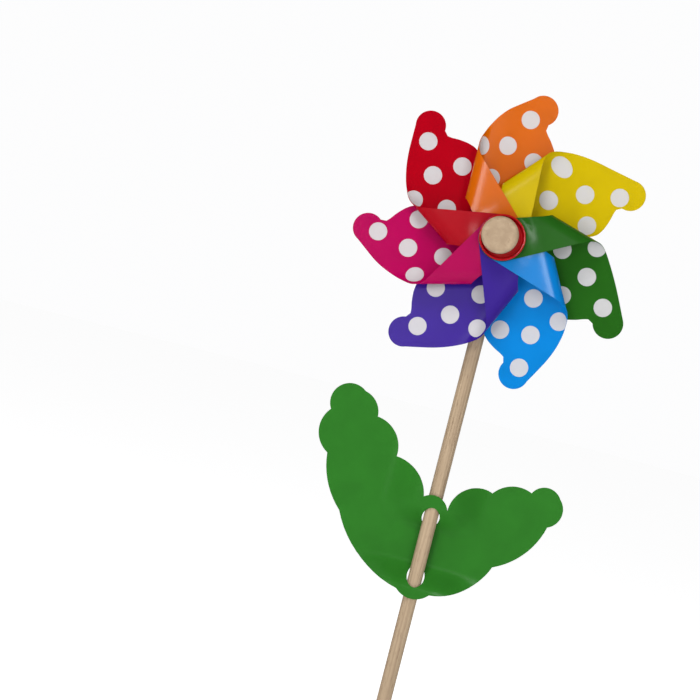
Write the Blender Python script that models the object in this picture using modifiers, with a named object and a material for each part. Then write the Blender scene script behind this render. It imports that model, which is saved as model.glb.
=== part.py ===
"""A seven-blade film whirligig on a wooden stick, with a two-leaf film collar threaded on the stick.

Metres, +Z up along the stick, the wheel faces -Y. The origin is the centre of the stick's foot.
The wheel spins on a steel pin that runs along Y through the stick, and a wooden knob closes the pin.
"""

import math

import bmesh
import bpy
from mathutils import Vector
from mathutils.geometry import delaunay_2d_cdt

# The stick and the pin through it
STICK_RADIUS = 0.004
STICK_LENGTH = 0.400
STICK_CHAMFER = 0.0006
HUB_Z = 0.390  # height of the pin's axis
PIN_RADIUS = 0.0012
PIN_HEAD_RADIUS = 0.003
PIN_HEAD_THICKNESS = 0.001
PIN_HEAD_EDGE = 0.0004
LOOSE_HOLE = 0.0015  # radius of each hole that the fixed pin passes through
GAP = 0.0003  # between pieces that touch
STACK_PLAY = 0.0001  # between neighbours in the clamped stack of the hub

# The film of the blades, and how its tabs are stacked on the hub
FILM = 0.0003
TAB_PITCH = 0.00036
BLADES = 7
REAR_PLANE = -0.0121  # middle of the seven rear tabs
FRONT_PLANE = -0.0270  # middle of the seven front tabs

# Stations along the pin, from the stick forwards
BEAD_BACK = -STICK_RADIUS - GAP
BEAD_FRONT = -0.0091
BEAD_RADIUS = 0.0048
TUBE_EDGE = 0.0003  # rounding of the washer and the spacer tube
SLEEVE_EDGE = 0.0001
HALF_STACK = TAB_PITCH * (BLADES - 1) / 2 + FILM / 2
WASHER_RADIUS = 0.0085
WASHER_THICKNESS = 0.0012
SPACER_RADIUS = 0.0045
SLEEVE_BORE = 0.0013  # runs on the pin
SLEEVE_RADIUS = 0.0021
HUB_HOLE = 0.0024  # radius of the holes that the sleeve passes through
DISH_RADIUS = 0.0125
DISH_WALL = 0.0012
DISH_DEPTH = 0.0034
DISH_CORNER = 0.0008
KNOB_RADIUS = 0.0100
KNOB_THICKNESS = 0.0085
KNOB_ROUND = 0.0020
KNOB_BACK_RADIUS = 0.0078
KNOB_BACK_SLOPE = 0.0026
KNOB_BACK_CORNER = (0.0008, 0.0006)
KNOB_OFFSET = (-0.0015, 0.0007)  # the pin's hole is drilled a little off the knob's centre, along x and z
KNOB_SOCKET_DEPTH = 0.0045

# Flat cut of one blade. p runs outwards along the curl, s runs across it, from the rear tab at (0, 0)
# to the front tab at (0, FRONT_TAB_S).
REAR_TAB_RADIUS = 0.0070
FRONT_TAB_RADIUS = 0.0127
CLAMP_MARGIN = 0.0006  # a tab is flat this far beyond its radius
LOBE_CENTRE = (0.0728, -0.0102)
LOBE_RADIUS = 0.0083
BULGE_SHAPE = ((0.08, 0.45), (0.16, 0.85), (0.24, 1.0), (0.32, 0.85), (0.40, 0.45))  # share of edge, rise
LOBE_START = -150  # degrees, where the lower edge reaches the lobe
FRONT_TAB_END = 272  # degrees, where the inner edge leaves the front tab
NECK_LOW = -2  # degrees, where the lower edge leaves the rear tab
NECK_HIGH = 41  # degrees, where the inner edge reaches the rear tab
LOWER_EDGE = ((0.0200, -0.0015), (0.0300, -0.0105), (0.0380, -0.0178), (0.0457, -0.0210),
              (0.0510, -0.0203), (0.0565, -0.0175), (0.0625, -0.0136))
INNER_EDGE = ((0.0085, 0.0372), (0.0140, 0.0330), (0.0165, 0.0290), (0.0162, 0.0240), (0.0148, 0.0134))

# The curl. The film leaves the rear tab with a slight pitch, turns over along CURL_LENGTH and comes
# back to the front tab.
REAR_PITCH = math.radians(7)
FRONT_PITCH = math.radians(4)
CURL_APEX = 0.0246  # distance of the curl's crest from the pin's axis
CURL_LENGTH = 0.028
PROFILE_STEP = 0.0001
NECK_END = 0.022  # radius at which a sheet has left its place in the rear stack
FRONT_LIFT_END = 0.018  # radius at which a flap follows the curl in full

# Lines that the film is cut along before it is bent: fine across the curl, coarse elsewhere
COARSE = 0.0095
FINE = 0.0029
CURL_ROWS = (0.010, 0.049)

# One row per blade, clockwise: name, colour, turn of its rear sheet and of its curl away from an even
# spacing (degrees, anticlockwise seen from the front), place of its front tab counted from the front
# and of its rear tab counted from the back, and how far its outer edge bulges.
BLADE_ROWS = (
    ("blade_red", (0.62, 0.01, 0.02), 0.5, 1.1, 4, 5, 0.0030),
    ("blade_orange", (0.80, 0.18, 0.01), 2.3, -2.1, 5, 6, 0.0040),
    ("blade_yellow", (0.80, 0.62, 0.00), 0.2, 6.9, 6, 0, 0.0026),
    ("blade_green", (0.03, 0.18, 0.02), -5.7, -6.0, 0, 1, 0.0010),
    ("blade_blue", (0.00, 0.18, 0.68), -0.7, -0.1, 1, 2, 0.0038),
    ("blade_purple", (0.06, 0.02, 0.32), -1.2, -1.2, 2, 3, 0.0028),
    ("blade_magenta", (0.55, 0.00, 0.12), 2.0, -1.0, 3, 4, 0.0030),
)
RED_CURL_ANGLE = 143.6  # degrees, direction of the red blade's curl at an even spacing

# The leaf collar, in its own flat frame: x to the right, z up the stick from its centre
LEAF_FILM = 0.0004
LEAF_CENTRE_Z = HUB_Z - 0.1743
LEAF_YAW = math.radians(2.5)
LEAF_HOLE_Z = 0.0167
LEAF_HOLE_HALF = (0.0049, 0.0058)  # half width and half height of each hole
LEAF_OFFSET = 0.0047  # how far the film stands off the stick's axis, behind it and in front of it
LEAF_BEND = (0.0090, 0.0240)  # heights between which the film passes from behind the stick to its front
LEAF_FADE = (0.0070, 0.0300)  # distance from the stick over which the upper bend dies out
LEAF_LOWER_FADE = (0.0090, 0.0480)  # and the lower one
LEAF_COARSE = 0.0120
LEAF_FINE = 0.0048
# Corners between the scallops, anticlockwise from the top of the collar, each with the rise of the arc
# that leads on to the next corner
LEAF_CORNERS = (
    ((0.0078, 0.0228), 0.0040), ((-0.0067, 0.0275), 0.0046), ((-0.0265, 0.0446), 0.0050),
    ((-0.0420, 0.0633), 0.0027), ((-0.0520, 0.0753), 0.0092), ((-0.0683, 0.0610), 0.0058),
    ((-0.0643, 0.0370), 0.0030), ((-0.0500, 0.0077), 0.0062), ((-0.0090, -0.0252), 0.0040),
    ((0.0095, -0.0247), 0.0056), ((0.0400, -0.0020), 0.0044), ((0.0640, 0.0270), 0.0046),
    ((0.0672, 0.0438), 0.0048), ((0.0510, 0.0433), 0.0038), ((0.0300, 0.0378), 0.0072),
)
ARC_STEP = math.radians(20)


def material(name, colour, roughness, metallic=0.0):
    made = bpy.data.materials.new(name)
    made.use_nodes = True
    shader = made.node_tree.nodes["Principled BSDF"]
    shader.inputs["Base Color"].default_value = (*colour, 1)
    shader.inputs["Roughness"].default_value = roughness
    shader.inputs["Metallic"].default_value = metallic
    return made


def new_object(name, mesh, collection, look):
    made = bpy.data.objects.new(name, mesh)
    collection.objects.link(made)
    mesh.materials.append(look)
    return made


def turned(name, profile, steps, collection, look):
    """A turned piece on the pin's axis. profile lists (radius, y), from the front end to the back end
    down the outer side, and ends where it began if the piece has a bore."""
    mesh = bpy.data.meshes.new(name)
    # The Screw turns about the object's Z, which is laid along the pin: local +Z faces the viewer.
    points = [(radius, 0, -y) for radius, y in profile]
    mesh.from_pydata(points, [(i, i + 1) for i in range(len(points) - 1)], [])
    piece = new_object(name, mesh, collection, look)
    piece.location = (0, 0, HUB_Z)
    piece.rotation_euler = (math.radians(90), 0, 0)
    screw = piece.modifiers.new("Turn", "SCREW")
    screw.steps = steps
    screw.render_steps = steps
    screw.use_merge_vertices = True
    screw.merge_threshold = 0.00001
    screw.use_smooth_shade = True
    return piece


def ring_profile(inner, outer, front, back, edge):
    """A bored disc or tube with its outer corners rounded off by edge."""
    return [
        (inner, front), (outer - edge, front), (outer, front + edge), (outer, back - edge),
        (outer - edge, back), (inner, back), (inner, front),
    ]


def arc(centre, radius, start, end, step=ARC_STEP):
    """Points from start to end, in degrees, both included. It goes anticlockwise when end > start."""
    turn = math.radians(end - start)
    count = max(2, math.ceil(abs(turn) / step))
    angles = [math.radians(start) + turn * i / count for i in range(count + 1)]
    return [(centre[0] + radius * math.cos(a), centre[1] + radius * math.sin(a)) for a in angles]


def smooth_through(points, parts):
    """A Catmull-Rom curve through the inner points, without the two end points."""
    found = []
    for i in range(1, len(points) - 2):
        a, b, c, d = (Vector(points[i + j]) for j in (-1, 0, 1, 2))
        for k in range(parts):
            t = k / parts
            found.append(0.5 * (2 * b + (c - a) * t + (2 * a - 5 * b + 4 * c - d) * t * t
                                + (3 * b - 3 * c + d - a) * t ** 3))
    found.append(Vector(points[-2]))
    return [tuple(point) for point in found]


def ease(value, low, high):
    """0 below low, 1 above high, smooth between."""
    share = min(1.0, max(0.0, (value - low) / (high - low)))
    return share * share * (3 - 2 * share)


def curl_profile():
    """Lists of distance from the pin's axis and of depth, one value per PROFILE_STEP of film. The curl's
    start is found so that its crest lies at CURL_APEX."""
    turn = math.pi - REAR_PITCH - FRONT_PITCH

    def walk(start):
        across, depth = [0.0], [0.0]
        while across[-1] >= 0:
            share = min(1.0, max(0.0, ((len(across) - 0.5) * PROFILE_STEP - start) / CURL_LENGTH))
            angle = REAR_PITCH + turn * (share - math.sin(2 * math.pi * share) / (2 * math.pi))
            across.append(across[-1] + math.cos(angle) * PROFILE_STEP)
            depth.append(depth[-1] + math.sin(angle) * PROFILE_STEP)
        return across, depth

    low, high = 0.0, CURL_APEX
    for _ in range(40):
        middle = (low + high) / 2
        if max(walk(middle)[0]) < CURL_APEX:
            low = middle
        else:
            high = middle
    return walk(low)


CURL_ACROSS, CURL_DEPTH = curl_profile()
FRONT_TAB_S = (len(CURL_ACROSS) - 1) * PROFILE_STEP
FULL_DEPTH = CURL_DEPTH[-1]
TWIST_FROM, TWIST_TO = 0.006, 0.030  # film between its rear turn and its curl's turn


def along_profile(values, s):
    """values at s, straight on before the rear tab and after the front tab."""
    place = s / PROFILE_STEP
    index = min(len(values) - 2, max(0, math.floor(place)))
    return values[index] + (values[index + 1] - values[index]) * (place - index)


def blade_outline(outer_bulge):
    """The flat cut of a blade, anticlockwise."""
    front_centre = (0.0, FRONT_TAB_S)
    reach = Vector(front_centre) - Vector(LOBE_CENTRE)
    # The outer edge follows the straight line that touches both the lobe and the front tab, and bulges
    # a little over its outer part.
    facing = math.degrees(math.atan2(reach.y, reach.x)) - 90
    facing += math.degrees(math.asin((LOBE_RADIUS - FRONT_TAB_RADIUS) / reach.length))
    rear = arc((0, 0), REAR_TAB_RADIUS, NECK_HIGH, 360 + NECK_LOW)
    lower = smooth_through([rear[-1], *LOWER_EDGE, LOBE_CENTRE], 2)
    lobe = arc(LOBE_CENTRE, LOBE_RADIUS, LOBE_START, facing)
    front = arc(front_centre, FRONT_TAB_RADIUS, facing, FRONT_TAB_END)
    tangent = Vector(front[0]) - Vector(lobe[-1])
    outwards = Vector((tangent.y, -tangent.x)).normalized()
    bulge = [tuple(Vector(lobe[-1]) + share * tangent + outer_bulge * rise * outwards)
             for share, rise in BULGE_SHAPE]
    inner = smooth_through([front[-1], *INNER_EDGE, rear[0]], 2)
    return rear + lower + lobe + bulge + front + inner


def inside(point, outline):
    """Even-odd test of a flat point against a closed outline."""
    found = False
    for (x1, y1), (x2, y2) in zip(outline, outline[1:] + outline[:1]):
        if (y1 > point[1]) != (y2 > point[1]):
            found ^= point[0] < x1 + (point[1] - y1) * (x2 - x1) / (y2 - y1)
    return found


def flat_sheet(outline, holes, rings, columns, rows):
    """(points, triangles) of a flat outline with holes, cut along a grid so that it bends along the rows,
    and along rings inside which it stays flat."""
    points, edges = [], []
    for loop in (outline, *holes, *rings):
        first = len(points)
        points += loop
        edges += [(first + i, first + (i + 1) % len(loop)) for i in range(len(loop))]
    low = [min(point[axis] for point in outline) - FILM for axis in (0, 1)]
    high = [max(point[axis] for point in outline) + FILM for axis in (0, 1)]
    lines = [((x, low[1]), (x, high[1])) for x in columns]
    lines += [((low[0], y), (high[0], y)) for y in rows]
    for line in lines:
        edges.append((len(points), len(points) + 1))
        points += line
    filled = delaunay_2d_cdt([Vector(point) for point in points], edges, [], 0, 1e-6)
    places = [tuple(point) for point in filled[0]]
    kept = []
    for face in filled[2]:
        middle = sum((filled[0][i] for i in face), Vector((0, 0))) / 3
        if inside(middle, outline) and not any(inside(middle, hole) for hole in holes):
            kept.append(tuple(face))
    return places, kept


def spaced(start, end, step):
    """Evenly spaced values from start to end, both included, at most step apart."""
    count = math.ceil((end - start) / step)
    return [start + (end - start) * i / count for i in range(count + 1)]


def film_object(name, places, faces, thickness, collection, look):
    """A sheet of film: the bent middle surface with a Solidify of its thickness."""
    mesh = bpy.data.meshes.new(name)
    mesh.from_pydata(places, [], faces)
    sheet = bmesh.new()
    sheet.from_mesh(mesh)
    loose = [vertex for vertex in sheet.verts if not vertex.link_faces]
    bmesh.ops.delete(sheet, geom=loose, context="VERTS")
    bmesh.ops.recalc_face_normals(sheet, faces=sheet.faces)
    sheet.to_mesh(mesh)
    sheet.free()
    mesh.shade_smooth()
    film = new_object(name, mesh, collection, look)
    solid = film.modifiers.new("Thickness", "SOLIDIFY")
    solid.thickness = thickness
    solid.offset = 0
    return film


def bent_blade(p, s, rear_y, front_y, rear_turn, curl_turn):
    """Where a flat point of a blade goes, in the wheel's frame."""
    across = along_profile(CURL_ACROSS, s)
    depth = along_profile(CURL_DEPTH, s)
    if s <= FRONT_TAB_S / 2:
        # The sheet leaves its own place in the rear stack for the common pitched plane.
        freed = ease(math.hypot(p, across), REAR_TAB_RADIUS + CLAMP_MARGIN, NECK_END)
        share = depth / FULL_DEPTH
        y = (1 - freed) * rear_y + freed * (REAR_PLANE + share * (front_y - REAR_PLANE))
    else:
        lifted = ease(math.hypot(p, across), FRONT_TAB_RADIUS + CLAMP_MARGIN, FRONT_LIFT_END)
        share = 1 - lifted * (1 - depth / FULL_DEPTH)
        y = REAR_PLANE + share * (front_y - REAR_PLANE)
    angle = rear_turn + (curl_turn - rear_turn) * ease(s, TWIST_FROM, TWIST_TO)
    x = p * math.cos(angle) - across * math.sin(angle)
    z = p * math.sin(angle) + across * math.cos(angle)
    return x, y, z


def make_blade(index, row, collection):
    name, colour, rear_offset, curl_offset, front_place, rear_place, outer_bulge = row
    outline = blade_outline(outer_bulge)
    direction = RED_CURL_ANGLE - index * 360 / BLADES
    middle = (BLADES - 1) / 2
    front_y = FRONT_PLANE + (front_place - middle) * TAB_PITCH
    rear_y = REAR_PLANE - (rear_place - middle) * TAB_PITCH
    holes = [arc((0, s), HUB_HOLE, 0, 330, math.radians(30)) for s in (0, FRONT_TAB_S)]
    lowest, highest = (choose(s for _, s in outline) for choose in (min, max))
    rows = spaced(lowest, CURL_ROWS[0], COARSE)[1:-1] + spaced(*CURL_ROWS, FINE)
    rows += spaced(CURL_ROWS[1], highest, COARSE)[1:-1]
    columns = spaced(-FRONT_TAB_RADIUS, LOBE_CENTRE[0] + LOBE_RADIUS, COARSE)[1:-1]
    rings = [arc((0, s), radius + CLAMP_MARGIN, 0, 345, math.radians(15))
             for s, radius in ((0, REAR_TAB_RADIUS), (FRONT_TAB_S, FRONT_TAB_RADIUS))]
    flat, faces = flat_sheet(outline, holes, rings, columns, rows)
    turns = (math.radians(direction + rear_offset), math.radians(direction + curl_offset))
    places = [bent_blade(p, s, rear_y, front_y, *turns) for p, s in flat]
    blade = film_object(name, places, faces, FILM, collection, material(name, colour, 0.35))
    blade.location = (0, 0, HUB_Z)
    return blade


def leaf_outline():
    """The collar and its two leaves: arcs between the corners of LEAF_CORNERS, anticlockwise."""
    points = []
    for (start, rise), (end, _) in zip(LEAF_CORNERS, LEAF_CORNERS[1:] + LEAF_CORNERS[:1]):
        a, b = Vector(start), Vector(end)
        half = (b - a).length / 2
        radius = (half * half + rise * rise) / (2 * rise)
        outwards = Vector(((b - a).y, -(b - a).x)).normalized()
        centre = (a + b) / 2 + outwards * (rise - radius)
        first = math.degrees(math.atan2(*(a - centre).yx))
        last = math.degrees(math.atan2(*(b - centre).yx))
        points += arc(centre, radius, first, last + 360 * (last < first))[:-1]
    return points


def bent_leaf(x, z):
    """Where a flat point of the leaves goes: behind the stick at the middle, in front of it beyond the
    holes. The bend dies out sideways, faster above than below."""
    bend = ease(abs(z), *LEAF_BEND)
    bend *= 1 - ease(abs(x), *(LEAF_FADE if z > 0 else LEAF_LOWER_FADE))
    y = LEAF_OFFSET * (1 - 2 * bend)
    return x, y, z


def make_leaves(collection):
    half_width, half_height = LEAF_HOLE_HALF
    holes = []
    for side in (-1, 1):
        ring = arc((0, 0), 1, 0, 337.5, math.radians(22.5))
        holes.append([(x * half_width, side * LEAF_HOLE_Z + z * half_height) for x, z in ring])
    outline = leaf_outline()
    low, high = ([choose(point[axis] for point in outline) for axis in (0, 1)] for choose in (min, max))
    reach = LEAF_LOWER_FADE[1]
    columns = spaced(low[0], -reach, LEAF_COARSE)[1:] + spaced(reach, high[0], LEAF_COARSE)[:-1]
    columns += spaced(-reach, reach, LEAF_FINE)[1:-1]
    rows = spaced(-LEAF_BEND[1], LEAF_BEND[1], LEAF_FINE) + spaced(LEAF_BEND[1], high[1], LEAF_COARSE)[1:-1]
    flat, faces = flat_sheet(outline, holes, [], columns, rows)
    places = [bent_leaf(x, z) for x, z in flat]
    look = material("leaf_film", (0.04, 0.20, 0.02), 0.4)
    leaves = film_object("leaves", places, faces, LEAF_FILM, collection, look)
    leaves.location = (0, 0, LEAF_CENTRE_Z)
    leaves.rotation_euler = (0, 0, LEAF_YAW)
    return leaves


def drill(piece, name, radius, front, back, cutters):
    """A hole on the pin's axis, cut through piece from front to back."""
    bpy.ops.mesh.primitive_cylinder_add(
        vertices=24, radius=radius, depth=back - front, location=(0, (front + back) / 2, HUB_Z),
        rotation=(math.radians(90), 0, 0))
    cutter = bpy.context.object
    cutter.name = name
    cutter.hide_render = True
    cutter.display_type = "WIRE"
    for holder in cutter.users_collection:
        holder.objects.unlink(cutter)
    cutters.objects.link(cutter)
    cut = piece.modifiers.new("Pin hole", "BOOLEAN")
    cut.operation = "DIFFERENCE"
    cut.object = cutter


def make_stick(collection, cutters):
    profile = [
        (0, STICK_LENGTH), (STICK_RADIUS - STICK_CHAMFER, STICK_LENGTH),
        (STICK_RADIUS, STICK_LENGTH - STICK_CHAMFER), (STICK_RADIUS, STICK_CHAMFER),
        (STICK_RADIUS - STICK_CHAMFER, 0), (0, 0),
    ]
    stick = turned("stick", [(r, -z) for r, z in profile], 32, collection,
                   material("stick_wood", (0.52, 0.36, 0.22), 0.7))
    stick.location = (0, 0, 0)
    stick.rotation_euler = (0, 0, 0)
    drill(stick, "stick_drill", LOOSE_HOLE, -2 * STICK_RADIUS, 2 * STICK_RADIUS, cutters)


def make_hub(collection, cutters):
    red = material("red_plastic", (0.50, 0.01, 0.01), 0.12)
    steel = material("pin_steel", (0.60, 0.60, 0.62), 0.3, 1.0)
    wood = material("knob_wood", (0.60, 0.43, 0.28), 0.6)
    clear = material("hub_plastic", (0.75, 0.75, 0.73), 0.35)

    washer_front = REAR_PLANE + HALF_STACK + STACK_PLAY
    washer_back = washer_front + WASHER_THICKNESS
    dish_back = FRONT_PLANE - HALF_STACK - STACK_PLAY
    dish_floor = dish_back - DISH_WALL
    rim = dish_back - DISH_DEPTH
    knob_back = dish_floor - GAP
    knob_front = knob_back - KNOB_THICKNESS
    pin_tip = knob_back - KNOB_SOCKET_DEPTH + GAP
    head_front = STICK_RADIUS + GAP
    head_back = head_front + PIN_HEAD_THICKNESS

    turned("pin", [
        (0, pin_tip), (PIN_RADIUS, pin_tip), (PIN_RADIUS, head_front), (PIN_HEAD_RADIUS, head_front),
        (PIN_HEAD_RADIUS, head_back - PIN_HEAD_EDGE), (PIN_HEAD_RADIUS - PIN_HEAD_EDGE, head_back),
        (0, head_back),
    ], 24, collection, steel)

    half_bead = (BEAD_BACK - BEAD_FRONT) / 2
    bead_sides = [
        (LOOSE_HOLE + (BEAD_RADIUS - LOOSE_HOLE) * math.cos(math.radians(a)) ** 0.5,
         (BEAD_FRONT + BEAD_BACK) / 2 + half_bead * math.sin(math.radians(a)))
        for a in range(-80, 81, 20)
    ]
    turned("bead", [(LOOSE_HOLE, BEAD_FRONT), *bead_sides, (LOOSE_HOLE, BEAD_BACK),
                    (LOOSE_HOLE, BEAD_FRONT)], 24, collection, wood)

    turned("rear_washer", ring_profile(HUB_HOLE, WASHER_RADIUS, washer_front, washer_back, TUBE_EDGE),
           32, collection, red)
    turned("hub_sleeve", ring_profile(SLEEVE_BORE, SLEEVE_RADIUS, dish_floor + STACK_PLAY,
                                      washer_back - STACK_PLAY, SLEEVE_EDGE), 24, collection, clear)
    turned("spacer_tube", ring_profile(HUB_HOLE, SPACER_RADIUS, FRONT_PLANE + HALF_STACK + STACK_PLAY,
                                       REAR_PLANE - HALF_STACK - STACK_PLAY, TUBE_EDGE),
           28, collection, clear)

    lip = DISH_WALL / 2
    rim_arc = [
        (DISH_RADIUS - lip - lip * math.cos(math.radians(a)), rim + lip - lip * math.sin(math.radians(a)))
        for a in range(0, 181, 30)
    ]
    turned("dish", [
        (HUB_HOLE, dish_floor), (DISH_RADIUS - DISH_WALL - DISH_CORNER, dish_floor),
        (DISH_RADIUS - DISH_WALL, dish_floor - DISH_CORNER), *rim_arc,
        (DISH_RADIUS, dish_back - DISH_CORNER), (DISH_RADIUS - DISH_CORNER, dish_back),
        (HUB_HOLE, dish_back), (HUB_HOLE, dish_floor),
    ], 40, collection, red)

    edge = KNOB_ROUND
    round_edge = [
        (KNOB_RADIUS - edge + edge * math.sin(math.radians(a)),
         knob_front + edge - edge * math.cos(math.radians(a)))
        for a in range(0, 91, 18)
    ]
    knob = turned("knob", [
        (0, knob_front), *round_edge, (KNOB_RADIUS, knob_back - KNOB_BACK_SLOPE),
        (KNOB_BACK_RADIUS + KNOB_BACK_CORNER[0], knob_back - KNOB_BACK_CORNER[1]),
        (KNOB_BACK_RADIUS, knob_back), (0, knob_back),
    ], 40, collection, wood)
    knob.location.x += KNOB_OFFSET[0]
    knob.location.z += KNOB_OFFSET[1]
    drill(knob, "knob_drill", LOOSE_HOLE, knob_back - KNOB_SOCKET_DEPTH, knob_back + GAP, cutters)


def main():
    for old in list(bpy.data.objects):
        bpy.data.objects.remove(old, do_unlink=True)
    whirligig = bpy.data.collections.new("whirligig")
    cutters = bpy.data.collections.new("cutters")
    for made in (whirligig, cutters):
        bpy.context.scene.collection.children.link(made)

    make_stick(whirligig, cutters)
    make_hub(whirligig, cutters)
    for index, row in enumerate(BLADE_ROWS):
        make_blade(index, row, whirligig)
    make_leaves(whirligig)


main()
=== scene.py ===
import math

import bmesh
import bpy
from mathutils import Matrix, Vector
from mathutils.geometry import delaunay_2d_cdt


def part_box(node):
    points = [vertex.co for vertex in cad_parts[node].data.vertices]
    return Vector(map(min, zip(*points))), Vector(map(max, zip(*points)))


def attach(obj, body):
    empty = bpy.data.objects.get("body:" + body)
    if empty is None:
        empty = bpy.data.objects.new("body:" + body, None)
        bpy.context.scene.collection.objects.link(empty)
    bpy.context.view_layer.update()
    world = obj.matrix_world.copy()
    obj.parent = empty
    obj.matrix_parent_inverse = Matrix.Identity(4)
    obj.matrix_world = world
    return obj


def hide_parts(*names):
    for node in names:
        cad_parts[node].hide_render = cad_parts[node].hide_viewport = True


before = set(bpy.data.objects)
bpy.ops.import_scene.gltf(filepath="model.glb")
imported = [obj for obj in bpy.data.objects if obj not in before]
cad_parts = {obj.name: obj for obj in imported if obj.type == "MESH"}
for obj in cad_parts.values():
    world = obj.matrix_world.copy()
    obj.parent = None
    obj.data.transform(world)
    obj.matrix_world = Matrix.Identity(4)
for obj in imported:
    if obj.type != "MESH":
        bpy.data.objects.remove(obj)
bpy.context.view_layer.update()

# Stick and hub, in metres
HUB_Z = 0.390  # height of the pin's axis
STICK_RADIUS = 0.004
STICK_LENGTH = 0.400
STICK_CHAMFER = 0.0006
GAP = 0.0003  # left between neighbouring pieces
LOOSE_HOLE = 0.0015  # radius of the bead's hole
HUB_HOLE = 0.0024  # radius of the holes that the sleeve passes through
DISH_RADIUS = 0.0125
DISH_WALL = 0.0012
DISH_FILLET = 0.0012  # rounding inside, between the floor and the wall
DISH_HEEL = 0.0009  # rounding outside, between the back and the wall
WASHER_RADIUS = 0.0085
SPACER_RADIUS = 0.0045
SLEEVE_BORE = 0.0013
SLEEVE_RADIUS = 0.0021
TUBE_EDGE = 0.0003
SLEEVE_EDGE = 0.0001
KNOB_RADIUS = 0.0100
KNOB_ROUND = 0.0020
# Each ring's radius and its distance from the back
KNOB_HEEL = ((0.0100, 0.0026), (0.0095, 0.0016), (0.0086, 0.0006), (0.0078, 0.0))
KNOB_OFFSET = (-0.0015, 0.0007)  # of the knob's centre from the pin, along x and z
BEAD_RADIUS = 0.0048
PIN_RADIUS = 0.0012
PIN_CHAMFER = 0.0003
PIN_HEAD_RADIUS = 0.003
PIN_HEAD_EDGE = 0.0004
REAR_PLANE = -0.0121  # middle of the seven rear tabs
FRONT_PLANE = -0.0270  # middle of the seven front tabs

# Flat cut of a blade: p runs outwards along the curl, s across it from the rear tab to the front tab
FILM = 0.0003
TAB_PITCH = 0.00036  # from one stacked tab to the next
BLADES = 7
REAR_TAB_RADIUS = 0.0070
FRONT_TAB_RADIUS = 0.0127
CLAMP_MARGIN = 0.0006  # a tab is flat this far beyond its radius
LOBE_CENTRE = (0.0728, -0.0102)
LOBE_RADIUS = 0.0083
BULGE_SHAPE = ((0.08, 0.45), (0.16, 0.85), (0.24, 1.0), (0.32, 0.85), (0.40, 0.45))  # share, rise
BULGE_END = 0.55  # share of the edge
LOBE_START = -150  # degrees, where the lower edge reaches the lobe
FRONT_TAB_END = 272  # degrees, where the inner edge leaves the front tab
NECK_LOW = -2  # degrees, where the lower edge leaves the rear tab
NECK_HIGH = 41  # degrees, where the inner edge reaches the rear tab
LOWER_EDGE = ((0.0200, -0.0015), (0.0300, -0.0105), (0.0380, -0.0178), (0.0457, -0.0210),
              (0.0510, -0.0203), (0.0565, -0.0175), (0.0625, -0.0136))
INNER_EDGE = ((0.0085, 0.0372), (0.0140, 0.0330), (0.0165, 0.0290), (0.0162, 0.0240), (0.0148, 0.0134))

# Curl of a blade
REAR_PITCH = math.radians(7)
FRONT_PITCH = math.radians(4)
CURL_APEX = 0.0246  # distance of the curl's crest from the pin's axis
CURL_LENGTH = 0.028  # of the film that turns over
PROFILE_STEP = 0.0001
NECK_END = 0.022  # distance from the pin where a blade's place in the rear stack stops mattering
FRONT_LIFT_END = 0.018  # distance from the pin where the film has left the plane of its front tab
TWIST_FROM, TWIST_TO = 0.006, 0.030  # along s, from the turn of the rear sheet to that of the curl
RED_CURL_ANGLE = 143.6  # degrees
COARSE = 0.0040
FINE = 0.0012
CURL_ROWS = (0.008, 0.050)  # the stretch of s that is cut finely

# Dots printed on the inner side, with their centres along p and s
DOT_RADIUS = 0.0050
DOTS = ((0.0670, -0.0060), (0.0510, 0.0040), (0.0445, -0.0115), (0.0475, 0.0205), (0.0320, 0.0100))
DOT_COLOUR = (0.49, 0.48, 0.49)
INK_SHOWS = (0.10, 0.04)  # share of the film's colour that shows through thin and thick ink

# Clockwise: name, colour, turn of the rear sheet and of the curl, place of the front and of the rear
# tab, bulge of the outer edge, shift of the printed dots along p and s
BLADE_ROWS = (
    ("red", (0.400, 0.000, 0.008), 0.5, 1.1, 4, 5, 0.0030, (0.0, 0.0025)),
    ("orange", (0.590, 0.118, 0.000), 2.3, -2.1, 5, 6, 0.0040, (-0.0003, 0.0018)),
    ("yellow", (0.560, 0.420, 0.000), 0.2, 6.9, 6, 0, 0.0026, (0.0, -0.0026)),
    ("green", (0.018, 0.118, 0.009), -5.7, -6.0, 0, 1, 0.0010, (-0.0010, 0.0018)),
    ("blue", (0.002, 0.215, 0.600), -0.7, -0.1, 1, 2, 0.0038, (0.0032, -0.0005)),
    ("purple", (0.042, 0.014, 0.270), -1.2, -1.2, 2, 3, 0.0028, (-0.0014, 0.0)),
    ("magenta", (0.420, 0.000, 0.085), 2.0, -1.0, 3, 4, 0.0030, (0.0003, -0.0019)),
)

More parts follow.
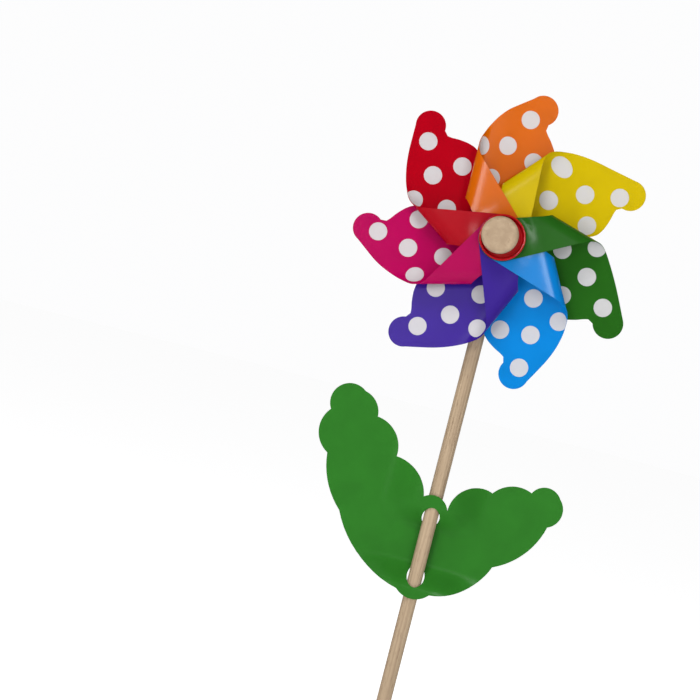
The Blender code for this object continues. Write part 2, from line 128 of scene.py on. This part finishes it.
# The leaf collar, in its own flat frame
LEAF_FILM = 0.0004
LEAF_CENTRE_Z = HUB_Z - 0.1743
LEAF_YAW = math.radians(2.5)
LEAF_HOLE_Z = 0.0167
LEAF_HOLE_HALF = (0.0049, 0.0058)
LEAF_OFFSET = 0.0047  # of the film from the stick's axis, behind it or in front of it
LEAF_BEND = (0.0090, 0.0240)  # heights from the middle between which the film crosses over
LEAF_FADE = (0.0070, 0.0300)  # distances from the stick over which the upper crossing fades
LEAF_LOWER_FADE = (0.0090, 0.0480)  # and the lower one
LEAF_COARSE = 0.0060
LEAF_FINE = 0.0018
LEAF_CORNERS = (  # each corner, and the rise of the arc from it to the next
    ((0.0078, 0.0228), 0.0040), ((-0.0067, 0.0275), 0.0046), ((-0.0265, 0.0446), 0.0050),
    ((-0.0420, 0.0633), 0.0027), ((-0.0520, 0.0753), 0.0092), ((-0.0683, 0.0610), 0.0058),
    ((-0.0643, 0.0370), 0.0030), ((-0.0500, 0.0077), 0.0062), ((-0.0090, -0.0252), 0.0040),
    ((0.0095, -0.0247), 0.0056), ((0.0400, -0.0020), 0.0044), ((0.0640, 0.0270), 0.0046),
    ((0.0672, 0.0438), 0.0048), ((0.0510, 0.0433), 0.0038), ((0.0300, 0.0378), 0.0072),
)
LEAF_COLOUR = (0.022, 0.155, 0.014)

# Fineness of the meshes
ARC_STEP = math.radians(5)
SHARP_EDGE = math.radians(50)
HOLE_STEP, LEAF_HOLE_STEP, DOT_STEP = 15, 8, 6  # degrees from point to point round each
STICK_STEPS, WIDE_STEPS, TUBE_STEPS, PIN_STEPS = 72, 96, 64, 48  # sides of the turned pieces

# Film finishes: share of light let through at each face, roughness, strength of the grain, gloss
PRINTED_FINISH = (0.25, 0.22, 0.25, 0.13)
PLAIN_FINISH = (0.25, 0.22, 0.0, 0.65)
LEAF_FINISH = (0.0, 0.26, 0.25, 0.35)

# Colours of the wood, the mouldings and the steel
STICK_PALE, STICK_DARK = (0.46, 0.345, 0.225), (0.17, 0.10, 0.055)
KNOB_PALE, KNOB_DARK = (0.41, 0.305, 0.20), (0.22, 0.14, 0.08)
GROWTH_CENTRE = (0.021, 0, 0.030)
DISH_RED = (0.42, 0.003, 0.008)
TUBE_WHITE = (0.66, 0.66, 0.62)
STEEL_DARK, STEEL_PALE = (0.50, 0.50, 0.52), (0.68, 0.68, 0.70)

# Studio: name, place, width and height, power, whether it shows in reflections
LIGHTS = (
    ("left_key", (-0.53, -1.28, 0.58), (0.44, 0.46), 5.0, True),
    ("right_key", (0.50, -1.28, 0.65), (0.42, 0.42), 4.4, True),
    ("key_above", (-0.45, -0.80, 1.35), (0.45, 0.45), 8.5, False),
    ("fill_behind", (0.50, 1.30, 0.70), (0.60, 0.60), 3.0, False),
)
WORLD_STRENGTH = 0.22
FLOOR_RADIUS = 9.0
FLOOR_COLOUR = (0.85, 0.85, 0.86)
FLOOR_GLOW = 0.80
BACKDROP_RADIUS = 9.5
BACKDROP_COLOUR = (0.98, 0.98, 0.985)

# Camera
CAMERA_AZIMUTH = math.radians(3.7)
CAMERA_ELEVATION = math.radians(0.8)
CAMERA_DISTANCE = 1.05
CAMERA_ROLL = math.radians(14.36)
CAMERA_LENS = 101.0
AIM_RIGHT, AIM_UP = -0.0640, -0.0786  # from the hub's front to the point the camera looks at


def add_camera():
    back = Vector((math.sin(CAMERA_AZIMUTH) * math.cos(CAMERA_ELEVATION),
                   -math.cos(CAMERA_AZIMUTH) * math.cos(CAMERA_ELEVATION), math.sin(CAMERA_ELEVATION)))
    right = Vector((math.cos(CAMERA_AZIMUTH), math.sin(CAMERA_AZIMUTH), 0))
    up = back.cross(right)
    aim = Vector((0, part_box("dish")[0][1], HUB_Z)) + AIM_RIGHT * right + AIM_UP * up
    camera = bpy.data.objects.new("camera", bpy.data.cameras.new("camera"))
    bpy.context.scene.collection.objects.link(camera)
    side = math.cos(CAMERA_ROLL) * right + math.sin(CAMERA_ROLL) * up
    top = math.cos(CAMERA_ROLL) * up - math.sin(CAMERA_ROLL) * right
    turn = Matrix((side, top, back)).transposed()
    camera.matrix_world = Matrix.Translation(aim + back * CAMERA_DISTANCE) @ turn.to_4x4()
    camera.data.lens = CAMERA_LENS
    camera.data.sensor_width = 36
    camera.data.clip_start = 0.05
    bpy.context.scene.camera = camera


add_camera()


# ---- materials ----

class Nodes:
    """A material's node tree, with short calls for the nodes used here."""

    def __init__(self, name):
        self.material = bpy.data.materials.new(name)
        self.material.use_nodes = True
        self.tree = self.material.node_tree
        self.shader = self.tree.nodes["Principled BSDF"]

    def node(self, kind, settings=None, **inputs):
        made = self.tree.nodes.new(kind)
        for key, value in (settings or {}).items():
            setattr(made, key, value)
        for key, value in inputs.items():
            self.put(made.inputs[key.replace("_", " ")], value)
        return made

    def put(self, socket, value):
        if isinstance(value, bpy.types.NodeSocket):
            self.tree.links.new(value, socket)
        else:
            socket.default_value = value

    def stretched(self, coordinates, scale, offset=(0, 0, 0)):
        made = self.node("ShaderNodeMapping", Vector=coordinates, Scale=scale, Location=offset)
        return made.outputs[0]

    def noise(self, coordinates, scale, detail=2.0, distortion=0.0):
        return self.node("ShaderNodeTexNoise", Vector=coordinates, Scale=scale, Detail=detail,
                         Distortion=distortion).outputs["Fac"]

    def ramp(self, value, low, high, to_low=0.0, to_high=1.0):
        made = self.node("ShaderNodeMapRange", Value=value)
        limits = {"From Min": low, "From Max": high, "To Min": to_low, "To Max": to_high}
        for key, number in limits.items():
            made.inputs[key].default_value = number
        return made.outputs[0]

    def mix(self, share, first, second):
        made = self.node("ShaderNodeMix", {"data_type": "RGBA"})
        self.put(made.inputs["Factor"], share)
        for socket, value in ((made.inputs[6], first), (made.inputs[7], second)):
            self.put(socket, value if isinstance(value, bpy.types.NodeSocket) else (*value, 1))
        return made.outputs[2]

    def bump(self, height, strength, distance):
        made = self.node("ShaderNodeBump", Height=height, Strength=strength, Distance=distance)
        self.put(self.shader.inputs["Normal"], made.outputs[0])

    def set(self, **inputs):
        for key, value in inputs.items():
            socket = self.shader.inputs[key.replace("_", " ")]
            self.put(socket, (*value, 1) if isinstance(value, tuple) else value)


def film_material(name, colour, through, roughness, grain, gloss):
    """Satin plastic film that lets some light through in its own colour.

    Its grain and faint clouding lie in the flat sheet.
    """
    made = Nodes(name)
    flat = made.node("ShaderNodeAttribute", {"attribute_name": "flat"}).outputs["Vector"]
    leather = made.noise(flat, 1500, 3.0)
    cloud = made.noise(flat, 55, 3.0, 0.4)
    rub = made.noise(flat, 170, 3.0, 0.3)
    darker = tuple(0.95 * value for value in colour)
    lighter = tuple(min(1.0, 1.04 * value) for value in colour)
    tint = made.mix(made.ramp(cloud, 0.35, 0.65), darker, lighter)
    speck = made.ramp(made.noise(flat, 5200, 1.0), 0.60, 0.72, 0.0, 0.12)
    made.set(Base_Color=made.mix(speck, tint, tuple(0.7 * value for value in colour)),
             Roughness=made.ramp(rub, 0.3, 0.7, roughness - 0.02, roughness + 0.03),
             Transmission_Weight=through, IOR=1.01, Coat_Weight=gloss, Coat_Roughness=roughness)
    made.bump(leather, grain, 0.00004)
    return made.material


def ink_material(name, film_colour):
    """Pale grey printed ink that lets a little of the film's colour through, more where it is thin."""
    made = Nodes(name)
    flat = made.node("ShaderNodeAttribute", {"attribute_name": "flat"}).outputs["Vector"]
    cloud = made.noise(flat, 240, 4.0)
    thin, thick = (tuple(ink + share * (film - ink) for ink, film in zip(DOT_COLOUR, film_colour))
                   for share in INK_SHOWS)
    made.set(Base_Color=made.mix(made.ramp(cloud, 0.3, 0.7), thin, thick),
             Roughness=made.ramp(cloud, 0.3, 0.7, 0.38, 0.50))
    made.bump(made.noise(flat, 2600, 3.0), 0.20, 0.0001)
    return made.material


def wood_material(name, pale, dark, lengthwise):
    """Bare beech, with its fibres along Z or, where it isn't lengthwise, with growth lines."""
    made = Nodes(name)
    place = made.node("ShaderNodeTexCoord").outputs["Object"]
    if lengthwise:
        fibres = made.noise(made.stretched(place, (900, 900, 14)), 1.0, 6.0, 0.3)
        bands = made.noise(made.stretched(place, (170, 170, 5)), 1.0, 3.0, 0.8)
        flecks = made.noise(made.stretched(place, (1500, 1500, 190)), 1.0, 1.0)
    else:
        rings = made.node("ShaderNodeTexWave", {"wave_type": "RINGS", "rings_direction": "Y"},
                          Vector=made.stretched(place, (1, 1, 1), GROWTH_CENTRE), Scale=150.0,
                          Distortion=2.6, Detail=3.0)
        rings.inputs["Detail Scale"].default_value = 1.6
        bands = rings.outputs["Fac"]
        fibres = made.noise(place, 260, 5.0, 0.4)
        flecks = made.noise(made.stretched(place, (420, 420, 900)), 1.0, 2.0)
    middle = tuple((a + b) / 2 for a, b in zip(pale, dark))
    base = made.mix(made.ramp(fibres, 0.32, 0.68), middle, pale)
    base = made.mix(made.ramp(bands, 0.35, 0.85, 0.0, 0.42), base, middle)
    made.set(Base_Color=made.mix(made.ramp(flecks, 0.62, 0.74, 0.0, 0.55), base, dark),
             Roughness=made.ramp(fibres, 0.3, 0.7, 0.55, 0.75), Specular_IOR_Level=0.35)
    made.bump(fibres, 0.35, 0.0002)
    return made.material


def moulded_material(name, colour, roughness, coat):
    """Moulded plastic with faint flow clouding and fine handling scratches."""
    made = Nodes(name)
    place = made.node("ShaderNodeTexCoord").outputs["Object"]
    cloud = made.noise(place, 130, 3.0, 0.5)
    scratch = made.noise(made.stretched(place, (260, 260, 4200)), 1.0, 3.0, 0.3)
    made.set(Base_Color=made.mix(made.ramp(cloud, 0.3, 0.7), tuple(0.82 * v for v in colour), colour),
             Roughness=made.ramp(scratch, 0.35, 0.75, roughness, roughness + 0.12),
             Coat_Weight=coat, Coat_Roughness=0.06)
    made.bump(scratch, 0.06, 0.0001)
    return made.material


def steel_material():
    """Drawn wire, marked along its length."""
    made = Nodes("pin_steel_drawn")
    place = made.node("ShaderNodeTexCoord").outputs["Object"]
    drawn = made.noise(made.stretched(place, (3800, 3800, 130)), 1.0, 4.0)
    made.set(Base_Color=made.mix(drawn, STEEL_DARK, STEEL_PALE), Metallic=1.0,
             Roughness=made.ramp(drawn, 0.3, 0.7, 0.22, 0.42))
    made.bump(drawn, 0.15, 0.0001)
    return made.material


# ---- shapes ----

def piece_object(name, mesh, materials, node):
    made = bpy.data.objects.new(name, mesh)
    bpy.context.scene.collection.objects.link(made)
    for material in materials:
        mesh.materials.append(material)
    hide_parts(node)
    return made


def turned(name, profile, steps, material, node, upright=False):
    """A turned piece on the pin's axis, or on the stick's when upright, from (radius, place) pairs."""
    shape = bmesh.new()
    line = [shape.verts.new((radius, 0, place if upright else -place)) for radius, place in profile]
    edges = [shape.edges.new(pair) for pair in zip(line, line[1:])]
    bmesh.ops.spin(shape, geom=line + edges, cent=(0, 0, 0), axis=(0, 0, 1), angle=math.tau, steps=steps,
                   use_merge=True)
    bmesh.ops.remove_doubles(shape, verts=shape.verts, dist=1e-7)
    bmesh.ops.recalc_face_normals(shape, faces=shape.faces)
    mesh = bpy.data.meshes.new(name)
    shape.to_mesh(mesh)
    shape.free()
    mesh.shade_smooth()
    mesh.set_sharp_from_angle(angle=SHARP_EDGE)
    made = piece_object(name, mesh, [material], node)
    if not upright:
        made.location = (0, 0, HUB_Z)
        made.rotation_euler = (math.radians(90), 0, 0)
    return made


def rounded(inner, outer, front, back, edge, parts=5):
    """Profile of a bored disc or tube with round outer corners."""
    turns = [math.radians(90) * i / parts for i in range(parts + 1)]
    first = [(outer - edge + edge * math.sin(t), front + edge - edge * math.cos(t)) for t in turns]
    last = [(outer - edge + edge * math.cos(t), back - edge + edge * math.sin(t)) for t in turns]
    return [(inner, front), *first, *last, (inner, back), (inner, front)]


def arc(centre, radius, start, end, step=ARC_STEP):
    turn = math.radians(end - start)
    count = max(2, math.ceil(abs(turn) / step))
    angles = [math.radians(start) + turn * i / count for i in range(count + 1)]
    return [(centre[0] + radius * math.cos(a), centre[1] + radius * math.sin(a)) for a in angles]


def ring(centre, radius, step):
    """A closed circle, with a point every so many degrees."""
    return arc(centre, radius, 0, 360 - step, math.radians(step))


def smooth_through(points, parts):
    """A curve through all points but the first and the last, which only set its direction there."""
    found = []
    for i in range(1, len(points) - 2):
        a, b, c, d = (Vector(points[i + j]) for j in (-1, 0, 1, 2))
        for k in range(parts):
            t = k / parts
            found.append(0.5 * (2 * b + (c - a) * t + (2 * a - 5 * b + 4 * c - d) * t * t
                                + (3 * b - 3 * c + d - a) * t ** 3))
    found.append(Vector(points[-2]))
    return [tuple(point) for point in found]


def ease(value, low, high):
    share = min(1.0, max(0.0, (value - low) / (high - low)))
    return share * share * (3 - 2 * share)


def curl_profile():
    """Distance from the pin and depth of the film, one value per PROFILE_STEP from the rear tab on."""
    turn = math.pi - REAR_PITCH - FRONT_PITCH

    def walk(start):
        across, depth = [0.0], [0.0]
        while across[-1] >= 0:
            share = min(1.0, max(0.0, ((len(across) - 0.5) * PROFILE_STEP - start) / CURL_LENGTH))
            angle = REAR_PITCH + turn * (share - math.sin(2 * math.pi * share) / (2 * math.pi))
            across.append(across[-1] + math.cos(angle) * PROFILE_STEP)
            depth.append(depth[-1] + math.sin(angle) * PROFILE_STEP)
        return across, depth

    low, high = 0.0, CURL_APEX
    for _ in range(40):
        middle = (low + high) / 2
        if max(walk(middle)[0]) < CURL_APEX:
            low = middle
        else:
            high = middle
    return walk(low)


CURL_ACROSS, CURL_DEPTH = curl_profile()
FRONT_TAB_S = (len(CURL_ACROSS) - 1) * PROFILE_STEP
FULL_DEPTH = CURL_DEPTH[-1]


def along_profile(values, s):
    place = s / PROFILE_STEP
    index = min(len(values) - 2, max(0, math.floor(place)))
    return values[index] + (values[index + 1] - values[index]) * (place - index)


def blade_outline(outer_bulge):
    """Flat cut of a blade: rear tab, lower edge, lobe, bulged outer edge, front tab and inner edge."""
    front_centre = (0.0, FRONT_TAB_S)
    reach = Vector(front_centre) - Vector(LOBE_CENTRE)
    facing = math.degrees(math.atan2(reach.y, reach.x)) - 90
    facing += math.degrees(math.asin((LOBE_RADIUS - FRONT_TAB_RADIUS) / reach.length))
    rear = arc((0, 0), REAR_TAB_RADIUS, NECK_HIGH, 360 + NECK_LOW)
    lower = smooth_through([rear[-1], *LOWER_EDGE, LOBE_CENTRE], 6)
    lobe = arc(LOBE_CENTRE, LOBE_RADIUS, LOBE_START, facing)
    front = arc(front_centre, FRONT_TAB_RADIUS, facing, FRONT_TAB_END)
    tangent = Vector(front[0]) - Vector(lobe[-1])
    outwards = Vector((tangent.y, -tangent.x)).normalized()
    bulge = [tuple(Vector(lobe[-1]) + share * tangent + outer_bulge * rise * outwards)
             for share, rise in BULGE_SHAPE]
    edge = [lobe[-2], lobe[-1], *bulge, tuple(Vector(lobe[-1]) + BULGE_END * tangent), front[0]]
    inner = smooth_through([front[-1], *INNER_EDGE, rear[0]], 6)
    return rear + lower + lobe + smooth_through(edge, 5)[1:] + front + inner


def inside(point, outline):
    found = False
    for (x1, y1), (x2, y2) in zip(outline, outline[1:] + outline[:1]):
        if (y1 > point[1]) != (y2 > point[1]):
            found ^= point[0] < x1 + (point[1] - y1) * (x2 - x1) / (y2 - y1)
    return found


def flat_sheet(outline, holes, rings, dots, columns, rows):
    """Points and triangles of a flat outline that is cut along a grid, rings and dots.

    The last list says whether each triangle lies in a dot.
    """
    points, edges = [], []
    for loop in (outline, *holes, *rings, *dots):
        first = len(points)
        points += loop
        edges += [(first + i, first + (i + 1) % len(loop)) for i in range(len(loop))]
    low = [min(point[axis] for point in outline) - FILM for axis in (0, 1)]
    high = [max(point[axis] for point in outline) + FILM for axis in (0, 1)]
    lines = [((x, low[1]), (x, high[1])) for x in columns] + [((low[0], y), (high[0], y)) for y in rows]
    for line in lines:
        edges.append((len(points), len(points) + 1))
        points += line
    filled = delaunay_2d_cdt([Vector(point) for point in points], edges, [], 0, 1e-6)
    kept, marked = [], []
    for face in filled[2]:
        middle = sum((filled[0][i] for i in face), Vector((0, 0))) / 3
        if inside(middle, outline) and not any(inside(middle, hole) for hole in holes):
            kept.append(tuple(face))
            marked.append(any(inside(middle, dot) for dot in dots))
    used = sorted({index for face in kept for index in face})
    place = {index: order for order, index in enumerate(used)}
    faces = [tuple(place[index] for index in face) for face in kept]
    return [tuple(filled[0][index]) for index in used], faces, marked


def spaced(start, end, step):
    count = math.ceil((end - start) / step)
    return [start + (end - start) * i / count for i in range(count + 1)]


def film_piece(name, flat, faces, marked, bend, thickness, materials, node):
    """A bent sheet of film. Its front takes materials 0 and, in the dots, 1, and its back 2 and 3."""
    mesh = bpy.data.meshes.new(name)
    mesh.from_pydata([bend(*point) for point in flat], [], faces)
    store = mesh.attributes.new("flat", "FLOAT_VECTOR", "POINT")
    store.data.foreach_set("vector", [value for point in flat for value in (*point, 0.0)])
    mesh.polygons.foreach_set("material_index", [int(mark) for mark in marked])
    mesh.shade_smooth()
    made = piece_object(name, mesh, materials, node)
    solid = made.modifiers.new("Thickness", "SOLIDIFY")
    solid.thickness = thickness
    solid.offset = 0
    solid.material_offset = 2
    solid.material_offset_rim = 2
    graph = bpy.context.evaluated_depsgraph_get()
    made.data = bpy.data.meshes.new_from_object(made.evaluated_get(graph))
    made.modifiers.clear()
    made.data.set_sharp_from_angle(angle=SHARP_EDGE)
    return made


def bent_blade(p, s, rear_y, front_y, rear_turn, curl_turn):
    """Where a point of the flat cut lies on the curled blade."""
    across = along_profile(CURL_ACROSS, s)
    depth = along_profile(CURL_DEPTH, s)
    if s <= FRONT_TAB_S / 2:
        freed = ease(math.hypot(p, across), REAR_TAB_RADIUS + CLAMP_MARGIN, NECK_END)
        share = depth / FULL_DEPTH
        y = (1 - freed) * rear_y + freed * (REAR_PLANE + share * (front_y - REAR_PLANE))
    else:
        lifted = ease(math.hypot(p, across), FRONT_TAB_RADIUS + CLAMP_MARGIN, FRONT_LIFT_END)
        share = 1 - lifted * (1 - depth / FULL_DEPTH)
        y = REAR_PLANE + share * (front_y - REAR_PLANE)
    angle = rear_turn + (curl_turn - rear_turn) * ease(s, TWIST_FROM, TWIST_TO)
    x = p * math.cos(angle) - across * math.sin(angle)
    z = p * math.sin(angle) + across * math.cos(angle)
    return x, y, z


def make_blade(index, row):
    name, colour, rear_offset, curl_offset, front_place, rear_place, outer_bulge, dot_shift = row
    outline = blade_outline(outer_bulge)
    holes = [ring((0, s), HUB_HOLE, HOLE_STEP) for s in (0, FRONT_TAB_S)]
    lowest, highest = (choose(s for _, s in outline) for choose in (min, max))
    rows = spaced(lowest, CURL_ROWS[0], COARSE)[1:-1] + spaced(*CURL_ROWS, FINE)
    rows += spaced(CURL_ROWS[1], highest, COARSE)[1:-1]
    columns = spaced(-FRONT_TAB_RADIUS, LOBE_CENTRE[0] + LOBE_RADIUS, COARSE)[1:-1]
    rings = [ring((0, s), radius + CLAMP_MARGIN, DOT_STEP)
             for s, radius in ((0, REAR_TAB_RADIUS), (FRONT_TAB_S, FRONT_TAB_RADIUS))]
    dots = [ring(Vector(centre) + Vector(dot_shift), DOT_RADIUS, DOT_STEP) for centre in DOTS]
    flat, faces, marked = flat_sheet(outline, holes, rings, dots, columns, rows)
    middle = (BLADES - 1) / 2
    direction = RED_CURL_ANGLE - index * 360 / BLADES
    front_y = FRONT_PLANE + (front_place - middle) * TAB_PITCH
    rear_y = REAR_PLANE - (rear_place - middle) * TAB_PITCH
    turns = (math.radians(direction + rear_offset), math.radians(direction + curl_offset))
    printed = film_material(f"{name}_film_printed", colour, *PRINTED_FINISH)
    ink = ink_material(f"{name}_dot_ink", colour)
    plain = film_material(f"{name}_film_plain", colour, *PLAIN_FINISH)
    blade = film_piece(
        f"dotted_blade_{name}", flat, faces, marked,
        lambda p, s: bent_blade(p, s, rear_y, front_y, *turns), FILM, [printed, ink, plain, plain],
        f"blade_{name}")
    blade.location = (0, 0, HUB_Z)
    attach(blade, "wheel")


def leaf_outline():
    points = []
    for (start, rise), (end, _) in zip(LEAF_CORNERS, LEAF_CORNERS[1:] + LEAF_CORNERS[:1]):
        a, b = Vector(start), Vector(end)
        half = (b - a).length / 2
        radius = (half * half + rise * rise) / (2 * rise)
        outwards = Vector(((b - a).y, -(b - a).x)).normalized()
        centre = (a + b) / 2 + outwards * (rise - radius)
        first = math.degrees(math.atan2(*(a - centre).yx))
        last = math.degrees(math.atan2(*(b - centre).yx))
        points += arc(centre, radius, first, last + 360 * (last < first))[:-1]
    return points


def bent_leaf(x, z):
    bend = ease(abs(z), *LEAF_BEND)
    bend *= 1 - ease(abs(x), *(LEAF_FADE if z > 0 else LEAF_LOWER_FADE))
    return x, LEAF_OFFSET * (1 - 2 * bend), z


def make_leaves():
    half_width, half_height = LEAF_HOLE_HALF
    holes = []
    for side in (-1, 1):
        circle = ring((0, 0), 1, LEAF_HOLE_STEP)
        holes.append([(x * half_width, side * LEAF_HOLE_Z + z * half_height) for x, z in circle])
    outline = leaf_outline()
    low, high = ([choose(point[axis] for point in outline) for axis in (0, 1)] for choose in (min, max))
    reach = LEAF_LOWER_FADE[1]
    columns = spaced(low[0], -reach, LEAF_COARSE)[1:] + spaced(reach, high[0], LEAF_COARSE)[:-1]
    columns += spaced(-reach, reach, LEAF_FINE)[1:-1]
    rows = spaced(-LEAF_BEND[1], LEAF_BEND[1], LEAF_FINE)
    rows += spaced(LEAF_BEND[1], high[1], LEAF_COARSE)[1:-1]
    flat, faces, marked = flat_sheet(outline, holes, [], [], columns, rows)
    look = film_material("leaf_film_green", LEAF_COLOUR, *LEAF_FINISH)
    leaves = film_piece("leaf_collar", flat, faces, marked, bent_leaf, LEAF_FILM, [look] * 4,
                        "leaves")
    leaves.location = (0, 0, LEAF_CENTRE_Z)
    leaves.rotation_euler = (0, 0, LEAF_YAW)
    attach(leaves, "leaves")


def rounding(radius, place, reach, angles, across=1):
    """Part of a circle in a profile. Angle 0 points outwards or, with across -1, inwards."""
    turns = [math.radians(angle) for angle in angles]
    return [(radius + across * reach * math.cos(t), place + reach * math.sin(t)) for t in turns]


def make_stick():
    waist = STICK_RADIUS - STICK_CHAMFER
    profile = [(0, STICK_LENGTH), (waist, STICK_LENGTH),
               *rounding(waist, STICK_LENGTH - STICK_CHAMFER, STICK_CHAMFER, (60, 30, 0)),
               (STICK_RADIUS, STICK_CHAMFER), (waist, 0), (0, 0)]
    wood = wood_material("stick_beech", STICK_PALE, STICK_DARK, True)
    stick = turned("stick_dowel", profile, STICK_STEPS, wood, "stick", upright=True)
    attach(stick, "stick")


def make_dish(red):
    low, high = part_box("dish")
    rim, back = low[1], high[1]
    floor = back - DISH_WALL
    lip = DISH_WALL / 2
    corner = DISH_RADIUS - DISH_WALL - DISH_FILLET
    profile = [(HUB_HOLE, floor),
               *rounding(corner, floor - DISH_FILLET, DISH_FILLET, range(90, -1, -15)),
               *rounding(DISH_RADIUS - lip, rim + lip, lip, range(0, -181, -15), -1),
               *rounding(DISH_RADIUS - DISH_HEEL, back - DISH_HEEL, DISH_HEEL, range(0, 91, 15)),
               (HUB_HOLE, back), (HUB_HOLE, floor)]
    dish = turned("hub_dish", profile, WIDE_STEPS, red, "dish")
    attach(dish, "wheel")


def make_knob(wood):
    low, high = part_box("knob")
    front, back = low[1], high[1]
    profile = [(0, front),
               *rounding(KNOB_RADIUS - KNOB_ROUND, front + KNOB_ROUND, KNOB_ROUND, range(-90, 1, 9)),
               *[(radius, back - height) for radius, height in KNOB_HEEL], (0, back)]
    knob = turned("turned_knob", profile, WIDE_STEPS, wood, "knob")
    knob.location.x += KNOB_OFFSET[0]
    knob.location.z += KNOB_OFFSET[1]
    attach(knob, "stick")


def make_bead(wood):
    low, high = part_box("bead")
    half, centre = (high[1] - low[1]) / 2, (high[1] + low[1]) / 2
    turns = [math.radians(a) for a in range(-85, 86, 5)]
    sides = [(LOOSE_HOLE + (BEAD_RADIUS - LOOSE_HOLE) * math.cos(t) ** 0.5, centre + half * math.sin(t))
             for t in turns]
    profile = [(LOOSE_HOLE, low[1]), *sides, (LOOSE_HOLE, high[1]), (LOOSE_HOLE, low[1])]
    bead = turned("wooden_bead", profile, TUBE_STEPS, wood, "bead")
    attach(bead, "stick")


def make_pin(steel):
    low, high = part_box("pin")
    head = STICK_RADIUS + GAP
    turns = [math.radians(a) for a in range(0, 91, 15)]
    dome = [(PIN_HEAD_RADIUS * math.cos(t), high[1] - PIN_HEAD_EDGE + PIN_HEAD_EDGE * math.sin(t))
            for t in turns]
    profile = [(0, low[1]), (PIN_RADIUS - PIN_CHAMFER, low[1]), (PIN_RADIUS, low[1] + PIN_CHAMFER),
               (PIN_RADIUS, head), (PIN_HEAD_RADIUS, head), *dome]
    pin = turned("steel_pin", profile, PIN_STEPS, steel, "pin")
    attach(pin, "stick")


def make_hub():
    red = moulded_material("dish_red", DISH_RED, 0.10, 0.6)
    natural = moulded_material("tube_natural", TUBE_WHITE, 0.30, 0.0)
    wood = wood_material("knob_beech", KNOB_PALE, KNOB_DARK, False)
    steel = steel_material()
    make_dish(red)
    for name, node, inner, outer, edge, material, slot in (
            ("back_washer", "rear_washer", HUB_HOLE, WASHER_RADIUS, TUBE_EDGE, red, "red_plastic"),
            ("clamp_tube", "spacer_tube", HUB_HOLE, SPACER_RADIUS, TUBE_EDGE, natural, "hub_plastic"),
            ("bearing_sleeve", "hub_sleeve", SLEEVE_BORE, SLEEVE_RADIUS, SLEEVE_EDGE, natural,
             "hub_plastic")):
        low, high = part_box(node)
        profile = rounded(inner, outer, low[1], high[1], edge)
        tube = turned(name, profile, TUBE_STEPS, material, node)
        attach(tube, "wheel")
    make_knob(wood)
    make_bead(wood)
    make_pin(steel)


# ---- stage ----

def area_light(name, place, target, size, power):
    light = bpy.data.lights.new(name, "AREA")
    light.shape = "RECTANGLE"
    light.size, light.size_y = size
    light.energy = power
    made = bpy.data.objects.new(name, light)
    bpy.context.scene.collection.objects.link(made)
    made.location = place
    made.rotation_euler = (Vector(target) - Vector(place)).to_track_quat("-Z", "Y").to_euler()
    made.visible_camera = False
    return made


def make_stage():
    scene = bpy.context.scene
    scene.view_settings.view_transform = "Standard"
    world = bpy.data.worlds.new("studio")
    scene.world = world
    world.use_nodes = True
    world.node_tree.nodes["Background"].inputs["Color"].default_value = (1, 1, 1, 1)
    world.node_tree.nodes["Background"].inputs["Strength"].default_value = WORLD_STRENGTH
    world.cycles_visibility.glossy = False

    shape = bmesh.new()
    bmesh.ops.create_circle(shape, cap_ends=True, segments=96, radius=FLOOR_RADIUS)
    mesh = bpy.data.meshes.new("floor")
    shape.to_mesh(mesh)
    shape.free()
    floor = bpy.data.objects.new("floor", mesh)
    scene.collection.objects.link(floor)
    pale = Nodes("pale_floor")
    pale.set(Base_Color=FLOOR_COLOUR, Roughness=0.9, Emission_Color=(1.0, 1.0, 1.0),
             Emission_Strength=FLOOR_GLOW)
    mesh.materials.append(pale.material)

    shape = bmesh.new()
    bmesh.ops.create_uvsphere(shape, u_segments=48, v_segments=24, radius=BACKDROP_RADIUS)
    mesh = bpy.data.meshes.new("backdrop")
    shape.to_mesh(mesh)
    shape.free()
    backdrop = bpy.data.objects.new("backdrop", mesh)
    scene.collection.objects.link(backdrop)
    glow = Nodes("pale_backdrop")
    glow.set(Base_Color=(0.0, 0.0, 0.0), Roughness=1.0, Specular_IOR_Level=0.0,
             Emission_Color=BACKDROP_COLOUR, Emission_Strength=1.0)
    mesh.materials.append(glow.material)
    floor.visible_glossy = False
    backdrop.visible_diffuse = False
    backdrop.visible_glossy = False
    backdrop.visible_shadow = False

    for name, place, size, power, reflected in LIGHTS:
        lamp = area_light(name, place, (0, 0, HUB_Z), size, power)
        lamp.visible_glossy = reflected


make_stick()
make_hub()
for blade_index, blade_row in enumerate(BLADE_ROWS):
    make_blade(blade_index, blade_row)
make_leaves()
make_stage()
